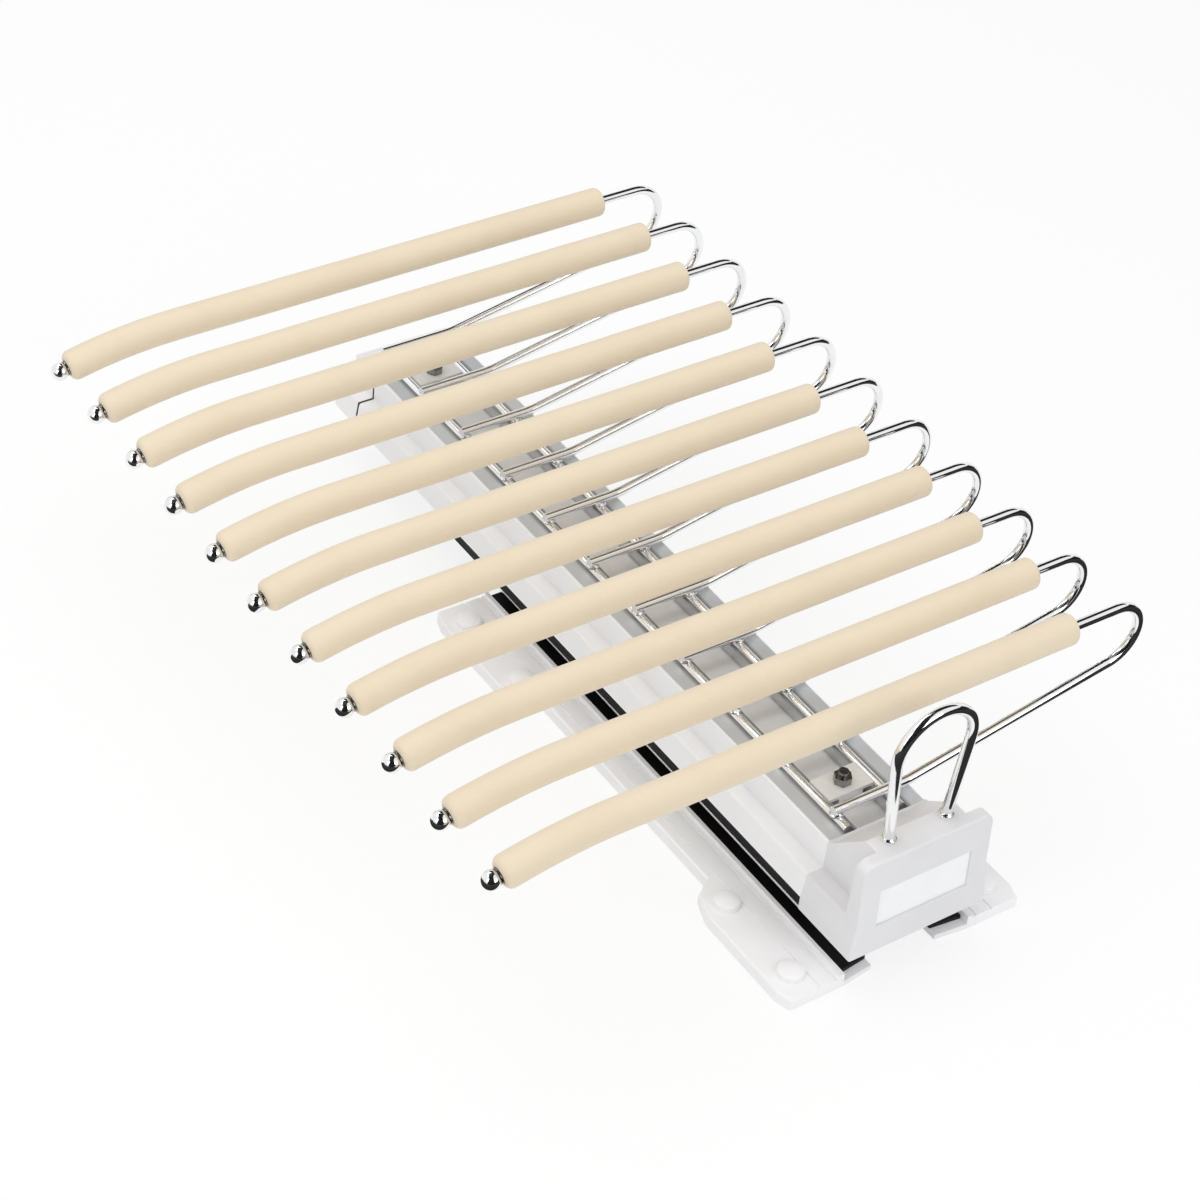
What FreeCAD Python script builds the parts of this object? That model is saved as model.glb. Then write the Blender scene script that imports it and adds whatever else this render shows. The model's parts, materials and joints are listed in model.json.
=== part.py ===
import FreeCAD, Part
import math
import os

from FreeCAD import Vector

os.makedirs("parts", exist_ok=True)

# Driving dimensions, in millimetres. The mounting face is z = 0, the arms lie along X and the rack
# pulls out along -Y. The origin is the middle of the mounting holes.

# Arms
arm_count = 11
arm_pitch = 40.0
arm_wire_dia = 5.0
arm_bar_rise = 57.7
arm_bend_radius = 17.7
arm_bend_reach = 157.7
arm_slope_start = 25.0
first_arm_setback = 11.0
arm_slope_corner_radius = 40.0
arm_tip_reach = 206.0
arm_droop_length = 63.0
arm_droop = 8.2
tip_ball_dia = 9.4
tip_flat_distance = 3.2
tip_socket_depth = 4.2
tip_socket_clearance = 0.15
tip_washer_dia = 8.0
tip_washer_thickness = 0.5
sleeve_dia = 16.0
sleeve_bend_gap = 24.0
sleeve_tip_gap = 0.2
sleeve_edge_round = 2.8

# Wire rods under the arms
rod_dia = 5.0
rod_spacing = 31.0
rod_proud = 2.0
rod_front_overhang = 9.0
rod_rear_overhang = 5.0

# Base plate
base_length = 304.0
base_flange_thickness = 6.5
base_flange_half_width = 55.7
base_inner_edge = 36.5
base_lip_width = 2.0
base_lip_height = 1.6
base_web_thickness = 3.0
base_notch_width = 38.0
base_notch_depth = 20.0
base_notch_slant = 2.0
base_groove_width = 1.4
base_groove_depth = 0.7
base_groove_inset = 4.3
base_edge_round = 1.2
tab_edge_distance = 12.5
tab_tail = 18.0
tab_slope_length = 20.0
tab_slope_knee = 7.0
tab_slope_step = 4.5
tab_corner_cut = 8.0
tab_corner_taper = 2.5
screw_spacing_x = 114.0
screw_spacing_y = 50.0
screw_end_distance = 14.0
screw_hole_dia = 4.5
screw_seat_dia = 13.5
screw_seat_height = 1.8
screw_sink_dia = 8.6
seat_groove_gap = 0.6
upright_thickness = 3.0
upright_top_gap = 1.0

# Slide rails
slide_length = 304.0
slide_front_setback = 3.0
slide_height = 26.0
slide_width = 10.0
slide_sheet = 1.4
slide_foot_sheet = 2.0
slide_foot_setback = 4.5
slide_foot_gap = 0.3
slide_bottom = 13.0
slide_ball_gap = 2.6
slide_ball_clearance = 0.2
slide_lip_gap = 0.4
slide_travel = 190.0
retainer_sheet = 0.6
retainer_flange = 0.9
retainer_length = 110.0
retainer_end_gap = 3.0
retainer_edge_gap = 1.0
retainer_ball_pitch = 10.0
ball_hole_clearance = 0.1
rivet_dia = 4.0
rivet_head_dia = 7.0
rivet_head_height = 1.6
rivet_count = 3
rivet_end_distance = 30.0
rail_screw_dia = 3.0
rail_screw_head_dia = 4.6
rail_screw_head_height = 1.2
rail_screw_top_gap = 0.1
rail_screw_bite = 1.6
rail_screw_count = 3
rail_screw_end_distance = 25.0

# Carriage
profile_rear_setback = 10.0
profile_rail_gap = 0.8
profile_step_height = 16.5
profile_top_half = 28.5
profile_skirt_half = 39.3
profile_skirt_depth = 14.0
profile_skirt_taper = 1.9
profile_skirt_wall = 3.9
profile_wall = 2.2
groove_floor = 1.4
groove_bank = 1.5
channel_depth = 6.0
profile_edge_round = 1.4

# Caps, label and handle
cap_overhang = 4.1
cap_depth = 39.1
cap_rise = 17.3
cap_drop = 7.4
cap_top_half = 25.8
cap_ramp_setback = 2.0
cap_ramp_lip = 0.6
cap_ramp_length = 18.8
cap_plate_thickness = 6.5
cap_plate_corner = 6.0
cap_lean = 4.0
cap_edge_round = 1.4
cap_tongue = 8.0
cap_tongue_clearance = 0.15
rear_cap_overhang = 12.0
rear_cap_seam = 1.4
rear_cap_round = 3.0
label_width = 53.0
label_height = 21.2
label_thickness = 1.2
label_recess = 1.0
label_rise = 26.8
handle_dia = 5.5
handle_leg_spacing = 33.0
handle_setback = 14.1
handle_rise = 69.9
handle_arch_radius = 21.2
handle_socket_depth = 9.0
ferrule_dia = 7.6
ferrule_height = 2.0
ferrule_round = 0.6

# Clamps
clamp_length = 15.0
clamp_plate_thickness = 1.8
clamp_foot_width = 14.0
clamp_offset = 16.0
clamp_bolt_dia = 5.0
clamp_bolt_reach = 2.7
clamp_head_width = 8.0
clamp_head_height = 3.0
clamp_nut_height = 4.0

# Points closer than this are the same place
same_place = 0.01

# Worked out from the above
arm_r = arm_wire_dia / 2
rod_r = rod_dia / 2
rod_x = rod_spacing / 2
tab_half_width = screw_spacing_x / 2 + tab_edge_distance
tab_length = screw_end_distance + screw_spacing_y + tab_tail
skirt_inner = profile_skirt_half - profile_skirt_wall
upright_outer = skirt_inner - slide_width
slide_top = slide_bottom + slide_height
slide_middle = slide_bottom + slide_height / 2
moving_bottom = slide_bottom + slide_sheet + slide_ball_gap
moving_top = slide_top - slide_sheet - slide_ball_gap
rail_screw_z = moving_top - slide_sheet - rail_screw_top_gap - rail_screw_head_dia / 2
upright_top = slide_top - upright_top_gap
ball_dia = slide_ball_gap - 2 * slide_ball_clearance
profile_shelf = slide_top + profile_rail_gap + profile_wall
profile_shelf_half = profile_skirt_half - profile_skirt_taper
profile_skirt_bottom = profile_shelf - profile_skirt_depth
profile_top = profile_shelf + profile_step_height
profile_top_wall = rod_dia - rod_proud + groove_floor
channel_half = rod_x - rod_r - groove_bank
channel_floor = profile_top - channel_depth
channel_underside = channel_floor - profile_wall
rod_z = profile_top + rod_proud - rod_r
arm_low_z = rod_z + rod_r + arm_r
arm_bar_z = arm_low_z + arm_bar_rise
bend_centre_x = arm_bend_reach - arm_bend_radius
sleeve_right_end = bend_centre_x - sleeve_bend_gap
wire_end = -arm_tip_reach + tip_ball_dia / 2 - tip_socket_depth
droop_start = arm_droop_length - arm_tip_reach
droop_radius = (arm_droop_length ** 2 + arm_droop ** 2) / (2 * arm_droop)
tip_angle = math.asin(arm_droop_length / droop_radius)
tip_socket_dia = arm_wire_dia + 2 * tip_socket_clearance
tip_washer_end = tip_flat_distance + tip_washer_thickness
sleeve_tip_distance = tip_washer_end + sleeve_tip_gap
sleeve_left_end = -arm_tip_reach + sleeve_tip_distance * math.cos(tip_angle)
base_y0 = -base_length / 2
base_y1 = base_length / 2
cap_y0 = base_y0 - cap_overhang
profile_y0 = cap_y0 + cap_depth
first_arm_y = profile_y0 + first_arm_setback
last_arm_y = first_arm_y + (arm_count - 1) * arm_pitch
profile_y1 = last_arm_y - profile_rear_setback
rear_end_y = last_arm_y + rear_cap_overhang
rod_y0 = first_arm_y - rod_front_overhang
rod_y1 = last_arm_y + rod_rear_overhang
rail_y0 = profile_y0 + slide_front_setback
rail_y1 = rail_y0 + slide_length
retainer_y0 = rail_y0 + slide_travel / 2 + retainer_end_gap
cap_top = profile_top + cap_rise
cap_bottom = profile_skirt_bottom - cap_drop
cap_slope = math.tan(math.radians(cap_lean))
handle_y = cap_y0 + handle_setback
clamp_plate_top = profile_top + clamp_plate_thickness


def box(x0, x1, y0, y1, z0, z1):
    """Axis-aligned block between two corners."""
    return Part.makeBox(x1 - x0, y1 - y0, z1 - z0, Vector(x0, y0, z0))


def bar(dia, start, end):
    """Round bar between two points."""
    span = end.sub(start)
    return Part.makeCylinder(dia / 2, span.Length, start, span)


def post(dia, x, y, z0, z1):
    """Upright round bar."""
    return bar(dia, Vector(x, y, z0), Vector(x, y, z1))


def prism(corners, along):
    """Block with a flat outline, pulled along a vector."""
    return Part.Face(Part.makePolygon(corners + corners[:1])).extrude(along)


def prism_y(points, y0, y1):
    """Block with an outline given in X and Z."""
    return prism([Vector(x, y0, z) for x, z in points], Vector(0, y1 - y0, 0))


def prism_x(points, x0, x1):
    """Block with an outline given in Y and Z."""
    return prism([Vector(x0, y, z) for y, z in points], Vector(x1 - x0, 0, 0))


def both_sides(shape):
    """The shape and its mirror image across the middle plane."""
    return [shape, shape.mirror(Vector(0, 0, 0), Vector(1, 0, 0))]


def mirrored(points):
    """Outline from its right half, left end first."""
    return [(-x, z) for x, z in reversed(points)] + points


def fuse(shapes):
    """One clean solid from touching or crossing shapes."""
    return shapes[0].multiFuse(shapes[1:]).removeSplitter()


def line(a, b):
    """Straight edge."""
    return Part.LineSegment(a, b).toShape()


def arc(a, middle, b):
    """Circular edge through three points."""
    return Part.Arc(a, middle, b).toShape()


def sweep(edges, dia):
    """Round wire along a path of tangent lines and arcs."""
    path = Part.Wire(edges)
    first = path.Edges[0]
    start = first.valueAt(first.FirstParameter)
    along = first.tangentAt(first.FirstParameter)
    ring = Part.Wire([Part.makeCircle(dia / 2, start, along)])
    return path.makePipeShell([ring], True, True)


def ends(edge):
    """First and last point of an edge."""
    return edge.Vertexes[0].Point, edge.Vertexes[-1].Point


def runs_along_y(edge):
    """Whether an edge is straight along Y."""
    a, b = ends(edge)
    return math.hypot(a.x - b.x, a.z - b.z) < same_place


def spread(first, last, count):
    """Evenly spaced places from first to last."""
    return [first + i * (last - first) / (count - 1) for i in range(count)]


def save(name, shape):
    """Writes one piece."""
    shape.exportStep("parts/" + name + ".step")
    print(name, len(shape.Solids), "solids", round(shape.Volume / 1000, 2), "cm3")


def save_pair(name, shape):
    """Writes a right-hand piece and its left-hand mirror image."""
    for side, piece in zip(("right", "left"), both_sides(shape)):
        save(name + "_" + side, piece)


def screw_rows():
    """Y of the mounting screws."""
    outer = base_y1 - screw_end_distance
    inner = outer - screw_spacing_y
    return [-outer, -inner, inner, outer]


def rivet_rows():
    """Y of the rivets in the fixed rails."""
    return spread(rail_y0 + rivet_end_distance, base_y1 - rivet_end_distance, rivet_count)


def rail_screw_rows():
    """Y of the screws in the moving rails."""
    return spread(rail_y0 + rail_screw_end_distance, rail_y1 - rail_screw_end_distance, rail_screw_count)


def clamp_rows():
    """Y of the clamps, behind the first arm and behind the last arm but one."""
    return [first_arm_y + clamp_offset, last_arm_y - arm_pitch + clamp_offset]


def tab(end, inward):
    """Right screw tab at one end of the base; inward is +1 or -1 along Y."""
    root = base_flange_half_width - base_edge_round
    outline = [
        (root, end),
        (tab_half_width - tab_corner_taper, end),
        (tab_half_width, end + inward * tab_corner_cut),
        (tab_half_width, end + inward * (tab_length - tab_slope_length)),
        (tab_half_width - tab_slope_step, end + inward * (tab_length - tab_slope_knee)),
        (root, end + inward * tab_length),
    ]
    return prism([Vector(x, y, 0) for x, y in outline], Vector(0, 0, base_flange_thickness))


def base_rims(body):
    """Outer top edges of the flange and its tabs."""
    rims = []
    for edge in body.Edges:
        a, b = ends(edge)
        on_top = abs(a.z - base_flange_thickness) + abs(b.z - base_flange_thickness) < same_place
        if on_top and min(a.x, b.x) > base_flange_half_width - same_place:
            rims.append(edge)
    return rims


def base_grooves():
    """Two shallow lines along the right flange, stopping short of the screw seats."""
    x = screw_spacing_x / 2
    bottom = base_flange_thickness - base_groove_depth
    inner = base_inner_edge + base_groove_inset
    outer = base_flange_half_width - base_groove_inset - base_groove_width
    cuts = []
    for start in (inner, outer):
        groove = box(start, start + base_groove_width, base_y0, base_y1, bottom, base_flange_thickness)
        for y in screw_rows():
            island = screw_seat_dia + 2 * seat_groove_gap
            groove = groove.cut(post(island, x, y, 0, base_flange_thickness))
        cuts.append(groove)
    return cuts


def base_flange():
    """Right flange with its raised lip, two tabs, groove lines and countersunk screw seats."""
    lip_top = base_flange_thickness + base_lip_height
    body = fuse([
        box(base_inner_edge, base_flange_half_width, base_y0, base_y1, 0, base_flange_thickness),
        box(base_inner_edge, base_inner_edge + base_lip_width, base_y0, base_y1, 0, lip_top),
        tab(base_y0, 1),
        tab(base_y1, -1),
    ])
    body = body.makeFillet(base_edge_round, base_rims(body))
    for groove in base_grooves():
        body = body.cut(groove)
    x = screw_spacing_x / 2
    seat_top = base_flange_thickness + screw_seat_height
    sink_depth = (screw_sink_dia - screw_hole_dia) / 2
    for y in screw_rows():
        body = body.fuse(post(screw_seat_dia, x, y, 0, seat_top))
        sink_place = Vector(x, y, seat_top - sink_depth)
        sink = Part.makeCone(screw_hole_dia / 2, screw_sink_dia / 2, sink_depth, sink_place)
        body = body.cut(post(screw_hole_dia, x, y, 0, seat_top)).cut(sink)
    return body


def upright():
    """Right wall that carries the fixed rail."""
    wall = box(upright_outer - upright_thickness, upright_outer, rail_y0, base_y1, 0, upright_top)
    for y in rivet_rows():
        wall = wall.cut(rivet_shank(y))
    return wall


def base_plate():
    """Flanges, web with a front notch, and the two uprights."""
    half = base_notch_width / 2
    right = [
        (half, base_y0 + base_notch_depth),
        (half, base_y0 + base_notch_slant),
        (base_inner_edge, base_y0),
        (base_inner_edge, base_y1),
    ]
    web = prism([Vector(x, y, 0) for x, y in mirrored(right)], Vector(0, 0, base_web_thickness))
    return fuse([web] + both_sides(base_flange()) + both_sides(upright()))


def rivet_shank(y):
    """Right rivet's shank, through the upright and the fixed rail."""
    inner = Vector(upright_outer - upright_thickness, y, slide_middle)
    return bar(rivet_dia, inner, Vector(upright_outer + slide_sheet, y, slide_middle))


def rivet(y):
    """Right rivet with its head on the inner side of the upright."""
    seat = Vector(upright_outer - upright_thickness, y, slide_middle)
    head = bar(rivet_head_dia, seat.sub(Vector(rivet_head_height, 0, 0)), seat)
    return fuse([head, rivet_shank(y)])


def rivets():
    """All rivets of both fixed rails."""
    return Part.makeCompound([piece for y in rivet_rows() for piece in both_sides(rivet(y))])


def rail_foot():
    """Foot of the right fixed rail on the base's web, wider in front of the upright."""
    x0 = base_notch_width / 2 + slide_foot_gap
    x1 = base_inner_edge - slide_foot_gap
    front = base_y0 + slide_foot_setback
    step = rail_y0 - slide_foot_gap
    outline = [
        (x0, front + base_notch_slant),
        (x1, front),
        (x1, base_y1),
        (upright_outer, base_y1),
        (upright_outer, step),
        (x0, step),
    ]
    corners = [Vector(x, y, base_web_thickness) for x, y in outline]
    return prism(corners, Vector(0, 0, slide_foot_sheet))


def fixed_rail():
    """Right fixed rail, a channel on a foot, whose lips face the carriage wall."""
    x0 = upright_outer
    x1 = skirt_inner - slide_sheet - slide_lip_gap
    body = fuse([
        rail_foot(),
        box(x0, x0 + slide_sheet, rail_y0, base_y1, base_web_thickness, slide_top),
        box(x0, x1, rail_y0, base_y1, slide_bottom, slide_bottom + slide_sheet),
        box(x0, x1, rail_y0, base_y1, slide_top - slide_sheet, slide_top),
    ])
    for y in rivet_rows():
        body = body.cut(rivet_shank(y))
    return body


def moving_rail():
    """Right moving rail, nested in the fixed rail and open towards it."""
    x0 = upright_outer + 2 * slide_sheet
    x1 = skirt_inner
    body = fuse([
        box(x1 - slide_sheet, x1, rail_y0, rail_y1, moving_bottom, moving_top),
        box(x0, x1, rail_y0, rail_y1, moving_bottom, moving_bottom + slide_sheet),
        box(x0, x1, rail_y0, rail_y1, moving_top - slide_sheet, moving_top),
    ])
    for y in rail_screw_rows():
        body = body.cut(rail_screw_shank(y))
    return body


def rail_screw_shank(y):
    """Right screw's shank, through the moving rail and into the carriage wall."""
    seat = Vector(skirt_inner - slide_sheet, y, rail_screw_z)
    return bar(rail_screw_dia, seat, Vector(skirt_inner + rail_screw_bite, y, rail_screw_z))


def rail_screw(y):
    """Right screw of the moving rail."""
    seat = Vector(skirt_inner - slide_sheet, y, rail_screw_z)
    head = bar(rail_screw_head_dia, seat.sub(Vector(rail_screw_head_height, 0, 0)), seat)
    return fuse([head, rail_screw_shank(y)])


def rail_screws():
    """Screws that hold the moving rails."""
    return Part.makeCompound([piece for y in rail_screw_rows() for piece in both_sides(rail_screw(y))])


def ball_retainer():
    """Right retainer, a bent strip with a row of balls in each flange."""
    x0 = upright_outer + slide_sheet + slide_lip_gap
    x1 = skirt_inner - slide_sheet - retainer_edge_gap
    y0 = retainer_y0
    y1 = retainer_y0 + retainer_length
    half = retainer_flange / 2
    low = slide_bottom + slide_sheet + slide_ball_gap / 2
    high = slide_top - slide_sheet - slide_ball_gap / 2
    strip = fuse([
        box(x0, x0 + retainer_sheet, y0, y1, low - half, high + half),
        box(x0, x1, y0, y1, low - half, low + half),
        box(x0, x1, y0, y1, high - half, high + half),
    ])
    ball_x = (x0 + retainer_sheet + x1) / 2
    count = int(retainer_length / retainer_ball_pitch)
    margin = (retainer_length - (count - 1) * retainer_ball_pitch) / 2
    balls = []
    for z in (low, high):
        for y in spread(y0 + margin, y1 - margin, count):
            hole_dia = ball_dia + 2 * ball_hole_clearance
            strip = strip.cut(post(hole_dia, ball_x, y, z - half, z + half))
            balls.append(Part.makeSphere(ball_dia / 2, Vector(ball_x, y, z)))
    return Part.makeCompound([strip] + balls)


def hat_outer():
    """Outside of the carriage section's right half, from the channel outwards."""
    return [
        (channel_half, channel_floor),
        (channel_half, profile_top),
        (profile_top_half, profile_top),
        (profile_top_half, profile_shelf),
        (profile_shelf_half, profile_shelf),
        (profile_skirt_half, profile_skirt_bottom),
    ]


def hat_inner():
    """Hollow side of the carriage section's right half, from the channel outwards."""
    bank = channel_half + profile_wall
    ceiling = profile_top - profile_top_wall
    wall = profile_top_half - profile_wall
    shelf = profile_shelf - profile_wall
    return [
        (bank, channel_underside),
        (bank, ceiling),
        (wall, ceiling),
        (wall, shelf),
        (skirt_inner, shelf),
        (skirt_inner, profile_skirt_bottom),
    ]


def carriage_edges(body):
    """Outer long edges of the carriage that are rounded."""
    corners = [(profile_top_half, profile_top), (profile_shelf_half, profile_shelf)]
    rims = []
    for edge in body.Edges:
        start = ends(edge)[0]
        near = [math.hypot(abs(start.x) - x, start.z - z) for x, z in corners]
        if runs_along_y(edge) and min(near) < same_place:
            rims.append(edge)
    return rims


def rod_shapes(y0, y1):
    """Both wire rods between two places, also used as the space that they fill."""
    return both_sides(bar(rod_dia, Vector(rod_x, y0, rod_z), Vector(rod_x, y1, rod_z)))


def carriage_profile():
    """Stepped hat section with a channel and two rod grooves on top."""
    outline = mirrored(hat_outer()) + list(reversed(mirrored(hat_inner())))
    body = prism_y(outline, profile_y0, profile_y1)
    body = body.makeFillet(profile_edge_round, carriage_edges(body))
    for rod in rod_shapes(profile_y0, profile_y1):
        body = body.cut(rod)
    for y in clamp_rows():
        body = body.cut(clamp_shank(y))
    for y in rail_screw_rows():
        for shank in both_sides(rail_screw_shank(y)):
            body = body.cut(shank)
    return body


def tongue(y0, y1):
    """Plug in the carriage's hollow, under its channel."""
    half = profile_top_half - profile_wall - cap_tongue_clearance
    return box(-half, half, y0, y1, profile_shelf - profile_wall, channel_underside - cap_tongue_clearance)


def cap_face_y(z):
    """Y of the leaning front face at a height."""
    return cap_y0 + (z - cap_bottom) * cap_slope


def cap_rims(body):
    """Edges of the cap's front face and the long edges of its top."""
    rims = []
    for edge in body.Edges:
        middle = edge.CenterOfMass
        on_face = abs(middle.y - cap_face_y(middle.z)) < same_place
        on_top = runs_along_y(edge) and abs(middle.z - cap_top) < same_place
        if on_face or on_top:
            rims.append(edge)
    return rims


def cap_plate():
    """Front plate as wide as the carriage's shelf, with two rounded top corners."""
    y1 = cap_face_y(cap_top) + cap_plate_thickness
    plate = box(-profile_shelf_half, profile_shelf_half, cap_y0, y1, cap_bottom, cap_top)
    corners = []
    for edge in plate.Edges:
        if runs_along_y(edge) and edge.CenterOfMass.z > cap_top - same_place:
            corners.append(edge)
    return plate.makeFillet(cap_plate_corner, corners)


def cap_block():
    """Front cap before its rounding: lower body, ramped top and front plate, with a leaning face."""
    ramp_foot = profile_y0 - cap_ramp_setback
    lower = prism_y(mirrored([
        (profile_shelf_half, profile_shelf),
        (profile_skirt_half, profile_skirt_bottom),
        (profile_skirt_half, cap_bottom),
    ]), cap_y0, profile_y0)
    ramp = prism_x([
        (cap_y0, profile_skirt_bottom),
        (profile_y0, profile_skirt_bottom),
        (profile_y0, profile_top),
        (ramp_foot, profile_top + cap_ramp_lip),
        (ramp_foot - cap_ramp_length, cap_top),
        (cap_y0, cap_top),
    ], -profile_top_half, profile_top_half)
    taper = prism_y(mirrored([
        (cap_top_half, cap_top),
        (profile_top_half, profile_top),
        (profile_top_half, profile_skirt_bottom),
    ]), cap_y0, profile_y0)
    in_front = prism_x([
        (cap_face_y(cap_bottom), cap_bottom),
        (cap_face_y(cap_top), cap_top),
        (cap_y0, cap_top),
    ], -profile_skirt_half, profile_skirt_half)
    return fuse([lower, ramp.common(taper), cap_plate()]).cut(in_front)


def front_cap():
    """Front cap with its plug, label recess and handle sockets."""
    body = cap_block()
    body = body.makeFillet(cap_edge_round, cap_rims(body))
    body = fuse([body, tongue(profile_y0, profile_y0 + cap_tongue)])
    for cut in [label_panel(0, label_recess + label_thickness)] + handle_legs():
        body = body.cut(cut)
    return body


def label_panel(near, far):
    """Panel parallel to the leaning front face, between two depths behind it."""
    half = label_width / 2
    z = cap_bottom + label_rise
    panel = box(-half, half, near, far, -label_height / 2, label_height / 2)
    panel.rotate(Vector(0, 0, 0), Vector(1, 0, 0), -cap_lean)
    panel.translate(Vector(0, cap_face_y(z), z))
    return panel


def handle_points():
    """Left leg's socket end and its tangent point on the arch."""
    foot_x = handle_leg_spacing / 2
    centre_rise = handle_rise - handle_arch_radius
    reach = math.hypot(foot_x, centre_rise)
    run = math.sqrt(reach ** 2 - handle_arch_radius ** 2)
    angle = math.atan2(centre_rise, foot_x) + math.asin(handle_arch_radius / reach)
    along = Vector(math.cos(angle), 0, math.sin(angle))
    foot = Vector(-foot_x, handle_y, cap_top)
    return foot.sub(along * handle_socket_depth), foot.add(along * run)


def handle_legs():
    """Straight legs of the handle, left and right."""
    end, touch = handle_points()
    return list(reversed(both_sides(bar(handle_dia, end, touch))))


def pull_handle():
    """Loop of bent wire with slightly spread legs."""
    end, touch = handle_points()
    apex = Vector(0, handle_y, cap_top + handle_rise)
    far_touch = Vector(-touch.x, touch.y, touch.z)
    far_end = Vector(-end.x, end.y, end.z)
    return sweep([line(end, touch), arc(touch, apex, far_touch), line(far_touch, far_end)], handle_dia)


def ferrules():
    """Rings round the feet of the handle, on the cap's top."""
    right_leg = handle_legs()[0]
    ring = post(ferrule_dia, handle_leg_spacing / 2, handle_y, cap_top, cap_top + ferrule_height)
    rim = max(ring.Edges, key=lambda edge: edge.CenterOfMass.z)
    ring = ring.makeFillet(ferrule_round, [rim]).cut(right_leg)
    return Part.makeCompound(both_sides(ring))


def rear_rims(body):
    """Top and side edges of the rear cap's end face, above the shelf."""
    rims = []
    for edge in body.Edges:
        a, b = ends(edge)
        on_end = abs(a.y - rear_end_y) + abs(b.y - rear_end_y) < same_place
        if on_end and edge.CenterOfMass.z > profile_shelf + same_place:
            rims.append(edge)
    return rims


def rear_cap():
    """Rear cap with the carriage's outline, a plug and rod grooves, open below for the rails."""
    y0 = profile_y1 + rear_cap_seam
    shelf = profile_shelf - profile_wall
    outer = mirrored(hat_outer()[2:])
    inner = mirrored([(skirt_inner, shelf), (skirt_inner, profile_skirt_bottom)])
    body = prism_y(outer + list(reversed(inner)), y0, rear_end_y)
    body = body.makeFillet(rear_cap_round, rear_rims(body))
    body = body.cut(box(-channel_half, channel_half, y0, rod_y1, channel_floor, profile_top))
    body = fuse([body, tongue(profile_y1 - cap_tongue, y0)])
    for rod in rod_shapes(rod_y0, rod_y1):
        body = body.cut(rod)
    return body


def clamp_shank(y):
    """Shank of one clamp bolt."""
    top = clamp_plate_top + clamp_nut_height + clamp_bolt_reach
    return post(clamp_bolt_dia, 0, y, channel_underside, top)


def clamp_block(y):
    """Clamp plate between the rods, on a foot that stands in the channel."""
    y0 = y - clamp_length / 2
    y1 = y + clamp_length / 2
    half = rod_x - rod_r
    foot = clamp_foot_width / 2
    body = fuse([
        box(-half, half, y0, y1, profile_top, clamp_plate_top),
        box(-foot, foot, y0, y1, channel_floor, profile_top),
    ])
    for cut in [clamp_shank(y)] + rod_shapes(y0, y1):
        body = body.cut(cut)
    return body


def hexagon(y, z0, z1):
    """Hexagonal head or nut on a clamp bolt's axis."""
    reach = clamp_head_width / 2 / math.cos(math.pi / 6)
    turns = [i * math.pi / 3 for i in range(6)]
    corners = [Vector(reach * math.cos(t), y + reach * math.sin(t), z0) for t in turns]
    return prism(corners, Vector(0, 0, z1 - z0))


def clamp_bolts():
    """Bolts up through the channel and the clamps, each with its nut."""
    pieces = []
    for y in clamp_rows():
        shank = clamp_shank(y)
        head = hexagon(y, channel_underside - clamp_head_height, channel_underside)
        nut = hexagon(y, clamp_plate_top, clamp_plate_top + clamp_nut_height)
        pieces.append(fuse([shank, head]))
        pieces.append(nut.cut(shank))
    return Part.makeCompound(pieces)


def bar_point(y, x):
    """Point of the upper bar's centre line in its drooping stretch."""
    fall = droop_radius - math.sqrt(droop_radius ** 2 - (droop_start - x) ** 2)
    return Vector(x, y, arm_bar_z - fall)


def upper_bar(y, right_x, left_x):
    """Edges of the upper bar, from right to left."""
    bend = Vector(droop_start, y, arm_bar_z)
    middle = bar_point(y, (droop_start + left_x) / 2)
    return [line(Vector(right_x, y, arm_bar_z), bend), arc(bend, middle, bar_point(y, left_x))]


def arm_path(y):
    """Centre line of one arm, from its end beside the left rod to its tip."""
    bend_z = arm_bar_z - arm_bend_radius
    run = bend_centre_x - arm_slope_start
    rise = bend_z - arm_low_z
    slope = math.atan2(rise, run) - math.asin(arm_bend_radius / math.hypot(run, rise))
    cut_back = arm_slope_corner_radius * math.tan(slope / 2)
    start = Vector(-rod_x - rod_r, y, arm_low_z)
    flat_end = Vector(arm_slope_start - cut_back, y, arm_low_z)
    corner_step = Vector(math.sin(slope / 2), 0, 1 - math.cos(slope / 2)) * arm_slope_corner_radius
    along = Vector(math.cos(slope), 0, math.sin(slope))
    rise_start = Vector(arm_slope_start, y, arm_low_z).add(along * cut_back)
    bend_centre = Vector(bend_centre_x, y, bend_z)
    touch = bend_centre.add(Vector(math.sin(slope), 0, -math.cos(slope)) * arm_bend_radius)
    outermost = Vector(arm_bend_reach, y, bend_z)
    top = Vector(bend_centre_x, y, arm_bar_z)
    lower = [
        line(start, flat_end),
        arc(flat_end, flat_end.add(corner_step), rise_start),
        line(rise_start, touch),
        arc(touch, outermost, top),
    ]
    return lower + upper_bar(y, bend_centre_x, wire_end)


def arm_sleeve(y):
    """Foam sleeve round the upper bar, with softened ends."""
    path = upper_bar(y, sleeve_right_end, sleeve_left_end)
    body = sweep(path, sleeve_dia)
    rings = sorted([edge for edge in body.Edges if edge.isClosed()], key=lambda edge: edge.CenterOfMass.x)
    body = body.makeFillet(sleeve_edge_round, [rings[0], rings[-1]])
    return body.cut(sweep(path, arm_wire_dia))


def tip_point(y, distance):
    """Point on a ball's axis, at a distance from its centre towards the wire."""
    return bar_point(y, -arm_tip_reach).add(Vector(math.cos(tip_angle), 0, math.sin(tip_angle)) * distance)


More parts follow.
